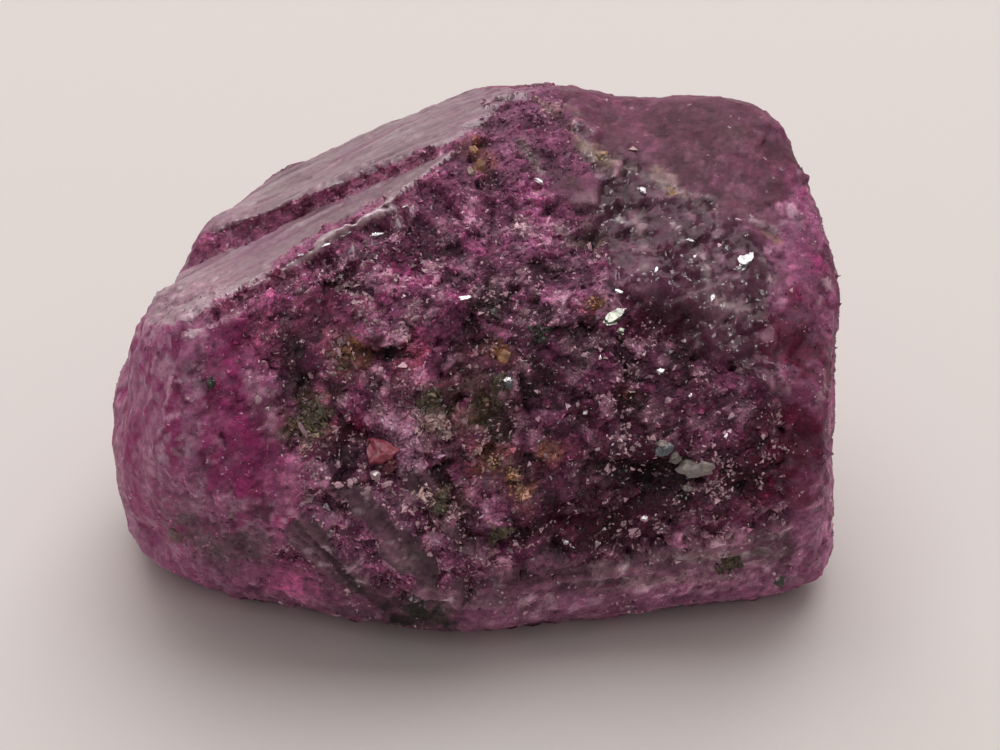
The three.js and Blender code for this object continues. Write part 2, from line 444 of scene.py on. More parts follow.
lay(MAUVE, ramp(clouds(places, 2.4, 20), -0.2, 0.6) * 0.8)
lay(DARK_PLUM, ramp(clouds(places, 1.3, 21), 0.05, 0.6) * 0.8)
upper_part = ramp(plan[:, 1], 6.5, 8.5)
lay(DARK_PLUM, in_break * patchy(0.7, 32, 0.0, 0.3) * (0.85 - 0.4 * upper_part))
pale_chips = patchy(0.6, 33, 0.1, 0.4)
lay(LAVENDER, in_break * pale_chips * 0.8)
lay(GREY_PLUM, in_cap * (0.35 + 0.4 * clouds(in_chips, 0.9, 48)))
lay(BROW_PLUM, in_glass * (0.85 + 0.4 * clouds(places, 1.5, 22)))
lay(MAROON, in_hump * (0.85 + 0.3 * clouds(places, 1.2, 34)))
wisps = ramp(1 - 7 * np.abs(clouds(places, 1.5, 30, (1.6, 1.0, 0.8))), 0.2, 0.9)
# Painted sheen and shade on the brow: some of its lumps are painted paler grey as a painted sheen, others
# darker as painted shade.
lay(GREY_PLUM * 0.8, in_glass * ramp(lump_sheen_and_shade, 0.25, 0.45) * 0.8)
lay(SMOKE, in_glass * ramp(-lump_sheen_and_shade, 0.3, 0.5) * 0.7)
lay(LAVENDER * 0.6, in_glass * ramp(fine_shade + clouds(places, 0.9, 44), 0.5, 0.9) * 0.5)
lay(MAUVE, (0.25 * in_glass + in_lower + 0.3 * in_hump) * wisps * 0.6)
patches = patchy(0.8, 35, 0.0, 0.5)
lay(DARK_PLUM, (0.25 * in_hump + 0.35 * in_lower + 0.4 * in_rim) * patches)
pale_patches = patchy(0.5, 36, 0.1, 0.5)
lay(LAVENDER, (0.15 * in_hump + 0.8 * in_lower + 0.75 * in_rim + 0.4 * in_left) * pale_patches)
# Painted shade: the lower right of the break is darkened as if it lay in shadow.
lay(DARK_PLUM, in_break * 0.75 * spot(places, (4.5, -5.6, 6.8), 4.2))
lay(MAUVE * 1.2, in_left * 0.65)
lay(MAGENTA, in_left * patchy(1.3, 23, -0.1, 0.4, (0.5, 0.5, 2.2)) * 0.8)
lay(LAVENDER, in_left * patchy(0.5, 37, 0.05, 0.45, (0.6, 0.6, 1.9)) * 0.85)
lay(DARK_PLUM, pitted_left * patchy(0.7, 45, 0.1, 0.4) * 0.7)
lay(SLATE_PLUM, in_planks * plank_top * (0.82 + 0.3 * clouds(places, 0.8, 55)))
tint *= np.exp(in_planks * plank_top * (1.1 * splint_shade - 0.45 * grooves))[:, None]
lay(MAUVE * 1.4, in_planks * (1 - plank_top) * ramp(fine_shade, 0.0, 0.3) * 0.8)
lay(MAUVE * 1.15, in_rim * 0.55)
lay(CRIMSON, in_rim * patchy(1.6, 24, 0.0, 0.4) * 0.7)
lay(np.array([0.240, 0.118, 0.158]), in_lower * 0.75)
lay(GREY_PLUM, in_lower * ramp(clouds(places, 0.9, 25, (5, 1, 0.5)), -0.1, 0.4) * 0.6)
low_down = in_lower * ramp(-places[:, 2], -5.0, -3.6)
lay(ASH * 1.3, low_down * ramp(band_shade, 0.2, 0.5) * 0.7)
lay(DARK_PLUM, low_down * ramp(-band_shade, 0.3, 0.6) * 0.6)
# The treads are painted a greyish mauve that is partly their own colour and partly a painted sheen, and a
# painted highlight lightens their left end further.
TREAD_MAUVE_AND_SHEEN = np.array([0.215, 0.135, 0.150])
painted_left_glare = 1 + 0.4 * ramp(-places[:, 0], 6.2, 7.4)
lay(TREAD_MAUVE_AND_SHEEN * painted_left_glare[:, None], in_tread * 0.88)
tread_clouds = clouds(on_treads, 0.6, 43) + 0.5 * clouds(places, 1.8, 59)
lay(MAUVE * 0.8, in_tread * ramp(tread_clouds, 0.05, 0.5) * 0.6)
lay(FROST * 0.8, in_tread * ramp(growth_lines, 0.15, 0.6) * 0.30)
lay(GREY_PLUM * 0.6, in_tread * ramp(-growth_lines, 0.3, 0.6) * 0.6)
back_streaks = ramp(clouds(places, 0.7, 38, (4, 4, 0.6)), -0.1, 0.45)
lay(ASH, in_back_face * (0.10 + 0.40 * back_streaks))
lay(DARK_PLUM, in_back_face * patchy(1.1, 49, 0.1, 0.5, (1.5, 1.5, 0.8)) * 0.7)
lay(MAGENTA, in_back_face * patchy(2.0, 50, 0.1, 0.5) * 0.5)
lay(OLIVE, unseen * patchy(0.8, 51, 0.45, 0.65) * 0.5)
lay(RUST, in_back_break * patchy(0.9, 52, 0.38, 0.55) * 0.8)
riser_blush = 0.45 + 0.5 * patchy(0.8, 26, -0.1, 0.4)
lay(PINK * 0.85, in_riser * (1 - 0.6 * above_riser) * riser_blush)
lay(LAVENDER, in_riser * ramp(fine_shade, 0.25, 0.5) * 0.5)
# The strip is painted near white: partly its own pale colour, partly a painted sheen.
lay(FROST * 1.25, in_strip * (0.75 + 1.2 * clouds(on_treads, 0.25, 47)))

frosted = 0.8 * in_rim + 0.8 * in_lower + 0.45 * in_left + 0.5 * in_planks
lay(FROST * 0.8, frosted * ramp(fine_shade + 0.6 * clouds(places, 0.5, 56), 0.65, 0.95) * 0.8)
long_streaks = ramp(1 - 9 * np.abs(clouds(ragged, 0.9, 58, (5, 1, 0.6))), 0.3, 0.9)
lay(FROST * 0.7, in_lower * long_streaks * ramp(fine_shade, -0.2, 0.3) * 0.55)

# The foot is painted paler than the sides: painted light, as if thrown up from the card into its shadow. The
# upper part of the break is paler too.
painted_light_foot = ramp(-places[:, 2], -3.4, -1.4) * np.clip(in_left + in_lower + in_rim, 0, 1)
lay(MAUVE * 1.3, painted_light_foot * 0.55)
lay(MAUVE * 1.1, (in_cap + in_break) * ramp(plan[:, 1], 7.5, 10.0) * 0.25)

# Stains and clouds of colour that can be pointed out: colour, place, reach and strength. The dark plum ones
# in the hollows under the brow and low on the right of the break are painted shade.
STAINS = [
    (CRIMSON, (9.2, -2.7, 9.7), 0.5, 0.8), (PINK * 0.8, (-5.8, -4.0, 10.7), 0.6, 0.6),
    (CRIMSON, (9.7, -1.6, 9.9), 0.6, 0.9), (CRIMSON, (9.5, -5.1, 7.6), 0.6, 0.8),
    (FUCHSIA, (-4.2, -3.4, 11.4), 0.9, 0.6), (FUCHSIA, (-5.4, -3.9, 10.7), 0.8, 0.7),
    (FUCHSIA, (-6.4, -4.1, 10.6), 0.7, 0.6), (MAGENTA, (-2.9, -3.3, 11.5), 0.7, 0.35),
    (MAGENTA, (-1.9, -2.2, 12.1), 0.8, 0.35), (ROSE, (-5.3, -5.7, 2.0), 0.6, 0.5),
    (GREEN_BLACK, (-1.3, -6.4, 1.7), 1.0, 0.8), (SLATE_PLUM, (-6.6, -5.8, 4.0), 0.9, 0.5),
    (SLATE_PLUM, (-7.8, -5.2, 3.0), 0.7, 0.6), (UMBER, (-0.9, -5.2, 8.2), 0.6, 0.6),
    (UMBER, (-0.5, -6.4, 6.2), 0.5, 0.6), (UMBER, (0.2, -4.5, 9.0), 0.5, 0.5),
    (UMBER, (0.9, -5.9, 6.7), 0.4, 0.5), (MAGENTA, (-6.9, -4.1, 10.6), 0.6, 0.9),
    (MAGENTA, (-7.2, -4.5, 10.0), 0.5, 0.9), (MAGENTA, (-7.4, -5.1, 9.0), 0.5, 0.9),
    (MAGENTA, (-7.2, -5.6, 8.2), 0.5, 0.9), (MAGENTA, (-6.6, -6.2, 7.2), 0.7, 0.9),
    (MAGENTA, (-5.8, -6.0, 7.6), 0.8, 0.4), (PINK, (-5.1, -6.4, 6.8), 0.5, 0.6),
    (ROSE, (-5.5, -5.7, 2.4), 0.8, 0.9), (SLATE_PLUM, (-8.6, -5.2, 4.6), 1.1, 0.6),
    (SLATE_PLUM, (-7.2, -5.5, 3.6), 1.0, 0.6), (ROSE, (-4.9, -6.4, 7.2), 0.5, 0.5),
    (MAGENTA, (-10.2, -3.9, 6.5), 1.0, 0.7), (MAGENTA, (-10.2, -4.2, 4.4), 0.9, 0.8),
    (OLIVE, (-4.7, -5.3, 8.6), 0.75, 0.95), (RUST, (-3.5, -4.2, 10.1), 0.5, 0.8),
    (GREEN_BLACK, (-5.0, -4.3, 10.2), 0.35, 0.9), (CRIMSON, (-3.5, -5.4, 8.3), 0.5, 0.8),
    (OLIVE, (-1.2, -4.9, 8.7), 0.6, 0.8), (OLIVE, (0.4, -4.9, 8.3), 0.75, 0.8),
    (RUST, (0.7, -4.0, 9.9), 0.45, 0.9), (GREEN_BLACK, (0.5, -2.8, 11.3), 0.6, 0.7),
    (OLIVE, (-1.0, -1.0, 12.3), 0.4, 0.6), (RUST, (2.2, -5.3, 7.3), 0.35, 0.7),
    (RUST, (1.5, -6.1, 6.3), 0.35, 0.7), (RUST, (0.4, -5.5, 7.3), 0.5, 0.5),
    (RUST, (3.6, -2.5, 10.7), 0.3, 0.8), (RUST, (4.6, -4.3, 8.7), 0.25, 0.7),
    (RUST, (0.0, 2.0, 13.0), 0.35, 0.9), (RUST, (0.3, 1.2, 12.8), 0.35, 0.8),
    (TAN, (2.3, 3.9, 13.1), 0.3, 0.4), (TAN * 1.5, (3.6, 2.5, 12.5), 0.26, 0.9),
    (TAN, (4.2, 2.3, 12.3), 0.22, 0.6), (TAN, (5.8, 1.9, 11.9), 0.30, 0.5),
    (OLIVE, (7.8, 3.8, 12.4), 0.35, 0.5), (DARK_PLUM, (6.6, 3.7, 12.4), 0.8, 0.45),
    (DARK_PLUM, (5.0, 2.1, 12.1), 0.5, 0.6), (DARK_PLUM, (8.7, 2.5, 11.6), 0.5, 0.5),
    (DARK_PLUM, (6.3, -2.7, 10.1), 0.75, 0.7), (DARK_PLUM, (5.2, -2.7, 10.1), 0.55, 0.8),
    (DARK_PLUM, (5.2, -5.9, 6.4), 1.1, 0.8), (DARK_PLUM, (3.1, -6.4, 5.2), 1.3, 0.8),
    (GREEN_BLACK, (-2.2, -6.2, 1.2), 1.0, 0.8), (CRIMSON, (9.7, -3.1, 9.3), 0.9, 1.0),
    (CRIMSON, (9.4, -5.1, 7.6), 1.1, 1.0), (CRIMSON, (8.6, -5.6, 6.3), 1.1, 0.8),
    (MAGENTA, (10.0, 2.3, 10.9), 0.8, 0.3), (MAGENTA, (10.2, 0.3, 10.4), 1.0, 0.4),
    (DARK_PLUM, (7.6, -5.9, 6.0), 0.9, 0.8),
]
for colour, place, reach, strength in STAINS:
    lay(colour, strength * spot(in_chips, place, reach) * (1.3 + 0.9 * fine_shade))

# Thin lines of colour: healed cracks, veins and the seam of pale mineral over the top. Colour, its two ends,
# width and strength.
SEAMS = [
    (TAN, (1.9, 4.3, 13.2), (3.4, 2.5, 12.5), 0.12, 0.55),
    (TAN, (3.2, 2.6, 12.6), (4.2, 2.2, 12.3), 0.13, 0.9),
    (TAN, (2.7, 4.3, 13.2), (4.4, 2.7, 12.6), 0.11, 0.5),
    (TAN, (5.4, 1.9, 12.0), (6.9, 0.9, 11.5), 0.10, 0.5),
    (ASH, (4.5, 2.0, 12.1), (6.7, 1.5, 11.6), 0.08, 0.9),
    (FROST, (7.0, 1.5, 11.5), (9.2, 0.7, 10.8), 0.07, 0.6),
    (HONEY, (8.8, 0.6, 10.9), (9.2, 0.4, 10.8), 0.12, 0.6),
    (LAVENDER, (-0.5, -0.6, 12.4), (0.8, -0.6, 12.1), 0.12, 0.9),
    (LAVENDER, (0.8, -0.6, 12.1), (2.6, 0.0, 11.9), 0.10, 0.7),
    (ASH, (1.4, 2.4, 12.9), (2.1, 1.5, 12.5), 0.14, 0.9),
    (ASH, (2.6, -0.8, 11.6), (4.0, -0.2, 11.6), 0.10, 0.7),
    (ASH, (5.0, 0.5, 11.6), (5.0, -1.4, 10.9), 0.13, 0.4),
    (FROST, (4.3, 0.5, 11.7), (4.8, 0.2, 11.6), 0.07, 0.9),
    (FROST, (5.9, 0.2, 11.4), (6.2, -0.4, 11.2), 0.06, 0.8),
    (FROST, (6.4, -0.4, 11.2), (6.8, -0.8, 11.0), 0.07, 0.9),
    (FROST, (6.8, -0.8, 11.0), (6.9, -1.6, 10.6), 0.07, 0.7),
    (FROST, (8.5, -0.4, 10.6), (8.8, -1.5, 10.3), 0.06, 0.4),
    (ASH, (2.6, -0.2, 11.9), (3.0, -0.6, 11.6), 0.12, 0.7),
    (TAN, (3.0, -0.6, 11.6), (3.9, -0.5, 11.5), 0.08, 0.8),
    (ASH, (6.8, -2.0, 10.5), (8.0, -2.6, 10.0), 0.28, 0.5),
    (DARK_PLUM, (5.4, -0.7, 11.2), (6.3, -1.0, 11.0), 0.22, 0.8),
    (CRIMSON, (9.7, -2.6, 9.6), (9.8, -3.6, 8.9), 0.40, 0.9),
    (LAVENDER, (8.6, -4.1, 9.0), (8.9, -5.2, 7.6), 0.06, 0.6),
    (LAVENDER, (9.2, -4.0, 8.9), (9.3, -5.0, 7.4), 0.06, 0.5),
    (MAGENTA, (-6.7, -4.0, 10.8), (-6.7, -5.1, 9.1), 0.25, 1.0),
    (MAGENTA, (-6.7, -5.1, 9.1), (-6.2, -6.1, 7.3), 0.30, 1.0),
    (DARK_PLUM, (-4.6, -6.4, 6.7), (-3.0, -6.2, 6.9), 0.14, 0.9),
    (DARK_PLUM, (-3.0, -6.2, 6.9), (-1.4, -5.8, 7.4), 0.12, 0.9),
    (FROST, (-2.6, 0.6, 12.6), (-1.1, 1.9, 12.9), 0.15, 0.4),
    (LAVENDER, (-2.0, -7.0, 3.4), (6.0, -6.9, 2.6), 0.10, 0.6),
    (DARK_PLUM, (1.6, -6.6, 5.3), (4.4, -6.5, 4.8), 0.45, 0.9),
    (SALMON * 0.7, (-1.7, -3.9, 10.3), (-1.8, -4.6, 9.4), 0.26, 0.7),
    (PINK, (-1.8, -4.6, 9.4), (-2.1, -5.2, 8.4), 0.32, 1.0),
    (PALE_PINK, (-2.1, -5.2, 8.4), (-1.9, -5.9, 7.4), 0.30, 1.0),
]
for colour, start, end, width, strength in SEAMS:
    drawn_on = in_chips if width > 0.2 else places + 0.4 * (ragged - places)
    away = beside(drawn_on, np.array(start), np.array(end))[1]
    lay(colour, strength * np.exp(-(away / width) ** 2) * (1.3 + 0.8 * fine_shade))


def paint(mesh, name, colours):
    """Stores one linear colour a point on the mesh."""
    layer = mesh.color_attributes.new(name, "FLOAT_COLOR", "POINT")
    rgba = np.ones((len(mesh.vertices), 4))
    rgba[:, :3] = colours
    layer.data.foreach_set("color", rgba.ravel())


smooth_share = in_glass + in_tread + 0.8 * in_planks * plank_top + 0.6 * in_back_face
smooth_share += (0.75 * (in_left - pitted_left) + 0.35 * pitted_left + 0.3 * in_lower
                 + 0.5 * in_hump + 0.3 * in_rim)
smooth_share = np.clip(smooth_share, 0, 1)
streaky = np.clip(in_tread + in_planks + in_lower + in_back_face, 0, 1)
# Painted shade and light: the crust is painted darker in its pits and lighter on its crests, and each chip
# also gets its own random tone. The share says how strongly each region takes this painted shading.
pit_shade_and_chip_tone = (0.28 + 1.3 * ramp(crust, -0.28, 0.26)) * np.exp(0.45 * middling_shade + 0.35 * fine_shade)
pit_shade_share = in_break + 0.7 * in_cap + 0.8 * in_back_break + 0.2 * in_riser + 0.4 * (pitted_left + in_hump)
pit_shade_share = np.clip(pit_shade_share, 0, 1) + 0.55 * in_rim + 0.6 * in_lower + 0.6 * in_planks + 0.4 * in_glass
pit_shade_share = np.clip(pit_shade_share, 0, 1)
tint *= 1 + (pit_shade_share * (pit_shade_and_chip_tone - 1))[:, None]
tint *= np.array([1.18, 1.09, 1.24])
paint(stone.data, "tint", np.clip(tint, 0, 1))
paint(stone.data, "kind", np.stack([grainy, smooth_share, streaky], 1))

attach(stone, "root")
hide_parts("ruby_crystal")


# Ruby. Colour and roughness follow the painted regions, and finer mottling, glittering facets and striations
# come from noise at a tenth of a millimetre.
def value_mix(tree, amount, low, high):
    """A number that runs from low to high as the amount socket runs from 0 to 1."""
    return add_node(tree, "MapRange", amount, To_Min=low, To_Max=high).outputs["Result"]


def scaled(tree, source, factor):
    return add_node(tree, "VectorMath", source, operation="SCALE", Scale=factor).outputs["Vector"]


def painted(tree, name):
    """The colours painted on the mesh under that name."""
    attribute = add_node(tree, "Attribute")
    attribute.attribute_name = name
    return attribute.outputs["Color"]


def bump(tree, height, millimetres, strength, under=None):
    """Bump from a height socket, on top of the bump under it if there is one. Gives the leaning normal."""
    ground = {"Normal": under} if under else {}
    return add_node(tree, "Bump", Height=height, Distance=millimetres * MM, Strength=strength,
                    **ground).outputs["Normal"]


RUBY_IOR = 1.77
FACETS_PER_METRE = 5600


def ruby_material(name, gloss, polish, facets):
    """Ruby with its own specular level (gloss), roughness of its smooth parts (polish) and how strongly tiny
    facets show where it isn't grainy."""
    material, shader = new_material(name)
    tree = material.node_tree
    where = add_node(tree, "TexCoord").outputs["Object"]
    grainy_share, smooth_part, streaky_part = add_node(tree, "SeparateColor", painted(tree, "kind")).outputs

    mottle = add_node(tree, "TexNoise", where, Scale=5200, Detail=5, Roughness=0.75).outputs["Fac"]
    contrast = add_node(tree, "MapRange", mottle, From_Min=0.32, From_Max=0.68)
    for end, frosted_reach, grained, even in (("To_Min", 0.50, 0.25, 0.66), ("To_Max", 1.7, 2.0, 1.45)):
        reach = value_mix(tree, grainy_share, frosted_reach, grained)
        feed(contrast, **{end: add_node(tree, "Mix", smooth_part, A=reach, B=even).outputs["Result"]})
    coloured = scaled(tree, painted(tree, "tint"), contrast.outputs["Result"])

    # Pale flecks, partly pale grains and partly painted glints: ragged middles of a few small cells, thick
    # in the crust and sparse elsewhere.
    fleck_warp = add_node(tree, "TexNoise", where, Scale=9000).outputs["Color"]
    fleck_where = add_node(tree, "VectorMath", fleck_warp, operation="MULTIPLY_ADD")
    fleck_where.inputs[1].default_value = (0.28 * MM, 0.28 * MM, 0.28 * MM)
    tree.links.new(where, fleck_where.inputs[2])
    fleck_cells = add_node(tree, "TexVoronoi", fleck_where.outputs["Vector"], Scale=4000)
    fleck_cells.distance = "MANHATTAN"
    fleck_chance = add_node(tree, "SeparateColor", fleck_cells.outputs["Color"]).outputs
    rarity = value_mix(tree, grainy_share, 0.90, 0.80)
    chosen = add_node(tree, "Math", fleck_chance["Red"], rarity, operation="GREATER_THAN").outputs["Value"]
    fleck_middle = add_node(tree, "MapRange", fleck_cells.outputs["Distance"], From_Min=0.22, From_Max=0.36,
                            To_Min=value_mix(tree, fleck_chance["Green"], 0.15, 1.0), To_Max=0)
    fleck = add_node(tree, "Math", chosen, fleck_middle.outputs["Result"], operation="MULTIPLY")
    flecked = add_node(tree, "Mix", fleck.outputs["Value"], data_type="RGBA", A=coloured,
                       B=(0.66, 0.47, 0.53, 1))

    # Facets: each little cell is a plane with its own lean.
    cells = add_node(tree, "TexVoronoi", where, Scale=FACETS_PER_METRE)
    cell_offset = add_node(tree, "VectorMath", scaled(tree, where, FACETS_PER_METRE),
                           scaled(tree, cells.outputs["Position"], FACETS_PER_METRE), operation="SUBTRACT")
    cell_lean = add_node(tree, "VectorMath", cells.outputs["Color"], operation="SUBTRACT")
    cell_lean.inputs[1].default_value = (0.5, 0.5, 0.5)
    facet = add_node(tree, "VectorMath", cell_offset.outputs["Vector"], cell_lean.outputs["Vector"],
                     operation="DOT_PRODUCT")
    faceted = bump(tree, facet.outputs["Value"], 0.10, value_mix(tree, grainy_share, facets, 0.9))

    # Striations: fine ridges along the growth faces.
    turn = (0, math.radians(20), math.radians(-12))
    turned = add_node(tree, "Mapping", where, Rotation=turn, Scale=(0.12, 1.0, 1.0))
    ridges = add_node(tree, "TexNoise", turned.outputs["Vector"], Scale=7000, Detail=2).outputs["Fac"]
    ridged = bump(tree, ridges, 0.05, value_mix(tree, streaky_part, 0.0, 0.28), faceted)

    # Grit: a frosting of tiny pits on everything but the growth faces.
    grit = add_node(tree, "TexNoise", where, Scale=9500, Detail=3, Roughness=0.7).outputs["Fac"]
    gritty = bump(tree, grit, 0.09, value_mix(tree, smooth_part, 0.75, 0.06), ridged)

    rough = add_node(tree, "Mix", smooth_part, A=value_mix(tree, mottle, 0.30, 0.75), B=polish)
    feed(shader, Base_Color=flecked.outputs["Result"], Roughness=rough.outputs["Result"], Normal=gritty,
         IOR=RUBY_IOR, Specular_IOR_Level=gloss, Subsurface_Weight=0.2, Subsurface_Radius=(1.0, 0.25, 0.4),
         Subsurface_Scale=0.4 * MM)
    return material


for name, gloss, polish, facets in (("ruby", 0.09, 0.35, 0.15), ("glassy_ruby", 0.12, 0.22, 0.55),
                                    ("growth_face_ruby", 0.62, 0.34, 0.10)):
    stone.data.materials.append(ruby_material(name, gloss, polish, facets))
finish = np.where(in_glass[face_points] > 0.5, 1, np.where(in_tread[face_points] > 0.5, 2, 0))
stone.data.polygons.foreach_set("material_index", finish)

# ------------------------------------------------------------------------------
# The granular crust of the break: thousands of angular ruby grains a tenth to a quarter of a millimetre
# across, still locked in the stone, with paler cleavage splinters among them.
# ------------------------------------------------------------------------------
PALE_GRAIN_AND_GLINT = np.array([0.70, 0.43, 0.51])
SIZE_SPREAD = 0.34
SHAPE_SPREAD = 0.28
BRIGHTNESS_SPREAD = 0.5


def splinter():
    """One angular grain about 1 across, as points and faces: two four-sided points, base to base."""
    form = bmesh.new()
    bmesh.ops.create_uvsphere(form, u_segments=4, v_segments=2, radius=0.55)
    points = np.array([v.co[:] for v in form.verts])
    faces = [[v.index for v in f.verts] for f in form.faces]
    form.free()
    return points, faces


def set_in_stone(name, points, faces, colours, material):
    """A piece from points in millimetres, faces and one colour a point, kept inside the stone's box."""
    mesh = bpy.data.meshes.new(name)
    mesh.from_pydata(np.clip(points, low_mm, high_mm) * MM, [], faces)
    paint(mesh, "tint", np.clip(colours, 0, 1))
    piece = bpy.data.objects.new(name, mesh)
    scene.collection.objects.link(piece)
    piece.data.materials.append(material)
    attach(piece, "root")


def strew(name, density, material, count, size_mm, pale, seed, sink=0.30, shades=tint):
    """Sets count grains on the stone where density is high, each turned, sized and tinted by chance, as one
    piece. pale is the share of light grains, and sink how deep a grain sits, in its own sizes."""
    chance = np.random.default_rng(seed)
    stone.data.calc_loop_triangles()
    corners = np.empty(len(stone.data.loop_triangles) * 3, int)
    stone.data.loop_triangles.foreach_get("vertices", corners)
    corners = corners.reshape(-1, 3)
    at, out = read_points(stone.data)
    first, second, third = at[corners[:, 0]], at[corners[:, 1]], at[corners[:, 2]]
    areas = np.linalg.norm(np.cross(second - first, third - first), axis=1)
    weight = areas * density[corners].mean(1)
    picks = chance.choice(len(corners), count, p=weight / weight.sum())
    mixing = chance.dirichlet((1, 1, 1), count)
    spots = (at[corners[picks]] * mixing[:, :, None]).sum(1)
    outward = (out[corners[picks]] * mixing[:, :, None]).sum(1)
    outward /= np.linalg.norm(outward, axis=1, keepdims=True)
    colours = shades[corners[picks]].mean(1)
    sizes = size_mm * np.exp(np.clip(chance.normal(0, SIZE_SPREAD, count), -0.8, 0.6))
    points, faces = splinter()
    shapes = points * (1 + 0.45 * chance.uniform(-1, 1, (count, len(points), 3)))
    shapes *= np.exp(chance.normal(0, SHAPE_SPREAD, (count, 1, 3)))
    spin = chance.normal(size=(count, 4))
    spin /= np.linalg.norm(spin, axis=1, keepdims=True)
    w, x, y, z = spin.T
    turns = np.stack([1 - 2 * (y * y + z * z), 2 * (x * y - z * w), 2 * (x * z + y * w),
                      2 * (x * y + z * w), 1 - 2 * (x * x + z * z), 2 * (y * z - x * w),
                      2 * (x * z - y * w), 2 * (y * z + x * w), 1 - 2 * (x * x + y * y)], 1)
    turns = turns.reshape(-1, 3, 3)
    grains = np.einsum("nij,npj->npi", turns, shapes) * sizes[:, None, None]
    grains += (spots - outward * sizes[:, None] * sink)[:, None, :]
    brightness = np.exp(chance.normal(0.05, BRIGHTNESS_SPREAD, (count, 1)))
    colours = colours * brightness
    # Light grains are painted pale, partly their own frosted colour and partly a painted glint.
    light = chance.random(count) < pale
    whiteness = chance.uniform(0.3, 1.4, (count, 1))
    colours = np.where(light[:, None], PALE_GRAIN_AND_GLINT * whiteness, colours)
    all_faces = (np.array(faces)[None] + (np.arange(count) * len(points))[:, None, None]).reshape(-1, 3)
    colours = np.repeat(colours, len(points), axis=0)
    set_in_stone(name, grains.reshape(-1, 3), all_faces.tolist(), colours, material)


def grain_material(name, roughness, glow):
    """Small grains in their painted tints. glow is the share of light that wanders inside them."""
    material, shader = new_material(name)
    tree = material.node_tree
    where = add_node(tree, "TexCoord").outputs["Object"]
    mottle = add_node(tree, "TexNoise", where, Scale=11000, Detail=3).outputs["Fac"]
    coloured = scaled(tree, painted(tree, "tint"), value_mix(tree, mottle, 0.6, 1.4))
    rough = value_mix(tree, mottle, roughness - 0.2, roughness + 0.2)
    feed(shader, Base_Color=coloured, Roughness=rough, Normal=bump(tree, mottle, 0.03, 0.6), IOR=RUBY_IOR,
         Specular_IOR_Level=0.22, Subsurface_Weight=glow, Subsurface_Radius=(1.0, 0.35, 0.5),
         Subsurface_Scale=0.15 * MM)
    return material


ruby_grain = grain_material("ruby_grain", 0.3, 0.0)
channels = in_planks * (1 - plank_top)
on_front = np.clip(in_break + 0.8 * in_cap, 0, 1) ** 1.5
strew("ruby_grains_front", on_front, ruby_grain, count=24000, size_mm=0.085, pale=0.03, seed=11)
elsewhere_rough = 0.3 * channels + 0.8 * in_riser + 0.9 * in_back_break
strew("ruby_grains_back", elsewhere_rough, ruby_grain, count=20000, size_mm=0.085, pale=0.07, seed=13)
elsewhere = 0.5 * pitted_left + 0.12 * in_left + 0.35 * in_lower + 0.4 * in_rim + 0.1 * in_planks
elsewhere = elsewhere + 0.1 * in_back_face
strew("ruby_fine_grains", elsewhere, ruby_grain, count=12000, size_mm=0.06, pale=0.08, seed=12)
strew("channel_crumbs", channels, ruby_grain, count=2600, size_mm=0.105, pale=0.25, seed=17, sink=0.25)

# Cleavage splinters: small pale flakes of ruby that catch the light, their pale colour partly a painted
# glint; they lie thickest along the broken edges.
flake_patches = ramp(clouds(places, 1.3, 40), 0.0, 0.35)
flake_density = (in_break + 0.5 * channels) * (0.06 + flake_patches) * (0.10 + pale_chips)
for hollow in ((6.2, -3.1, 9.9), (5.1, -2.9, 10.1), (3.1, -6.4, 5.2)):
    flake_density *= 1 - 0.85 * spot(moved, hollow, 1.1)
flake_density += (0.10 * in_lower + 0.02 * in_glass) * flake_patches
strew("cleavage_splinters", flake_density, grain_material("cleavage_face", 0.22, 0.0), count=2900,
      size_mm=0.110, pale=1.0, seed=14, sink=0.24)

# ------------------------------------------------------------------------------
# The host minerals caught in the break: rusty and honey-coloured crumbs, olive and green-black crumbs, cream
# grains along the torn edges. Each nest is a loose heap of small angular grains on the surface.
# ------------------------------------------------------------------------------
CREAM = np.array([0.480, 0.310, 0.310])
OCHRE = np.array([0.400, 0.190, 0.095])
MOSS = np.array([0.105, 0.078, 0.050])

